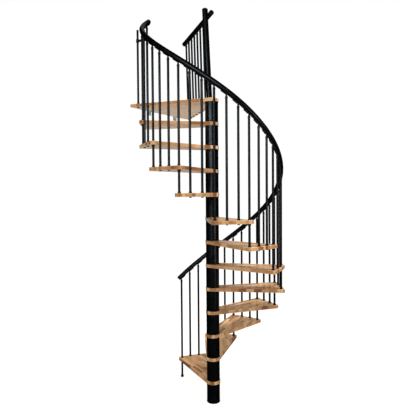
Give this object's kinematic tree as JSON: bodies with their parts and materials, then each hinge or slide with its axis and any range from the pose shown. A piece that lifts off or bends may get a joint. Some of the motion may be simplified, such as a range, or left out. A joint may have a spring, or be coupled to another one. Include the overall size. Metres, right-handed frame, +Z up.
{
  "type": "spiral staircase",
  "caption": "Clockwise spiral staircase: wedge treads of jointed beech threaded on a black steel column, black balusters, a helical handrail and a triangular top landing.",
  "frame": {"origin": "centre of the column's base, on the floor", "axes": "+Z up the column; -Y towards the side the picture was taken from; the stair climbs clockwise seen from above, starting at the back left"},
  "size_m": [1.4885, 1.594, 3.7815],
  "materials": {
    "tread_beech": "satin lacquer over finger-jointed staves",
    "landing_beech": "satin lacquer over finger-jointed staves",
    "column_black": "satin black powder coat",
    "black_steel": "satin black powder coat",
    "black_fittings": "satin black powder coat",
    "black_plastic": "moulded black",
    "zinc_plate": "bright zinc plate",
    "plain_steel": "black primer"
  },
  "bodies": {
    "root": {"baluster_feet": "black_plastic", "baluster_nuts": "black_plastic", "balusters_01": "black_steel", "balusters_02": "black_steel", "balusters_03": "black_steel", "balusters_04": "black_steel", "balusters_05": "black_steel", "balusters_06": "black_steel", "balusters_07": "black_steel", "balusters_08": "black_steel", "balusters_09": "black_steel", "balusters_10": "black_steel", "balusters_11": "black_steel", "balusters_12": "black_steel", "base_plate": "plain_steel", "centre_pole": "black_steel", "column_spacers": "column_black", "floor_foot": "black_plastic", "handrail": "black_steel", "handrail_end_caps": "black_plastic", "landing_balusters": "black_steel", "landing_brackets": "zinc_plate", "landing_corner_baluster": "black_steel", "landing_handrail": "black_steel", "landing_platform": "landing_beech", "landing_rail_saddles": "black_fittings", "newel_post": "black_steel", "post_cap": "black_plastic", "rail_saddles": "black_fittings", "tip_arm": "black_fittings", "tip_baluster": "black_steel", "tip_baluster_cap": "black_plastic", "tread_01": "tread_beech", "tread_02": "tread_beech", "tread_03": "tread_beech", "tread_04": "tread_beech", "tread_05": "tread_beech", "tread_06": "tread_beech", "tread_07": "tread_beech", "tread_08": "tread_beech", "tread_09": "tread_beech", "tread_10": "tread_beech", "tread_11": "tread_beech", "tread_12": "tread_beech", "under_tread_collars": "black_plastic"}
  },
  "joints": []
}
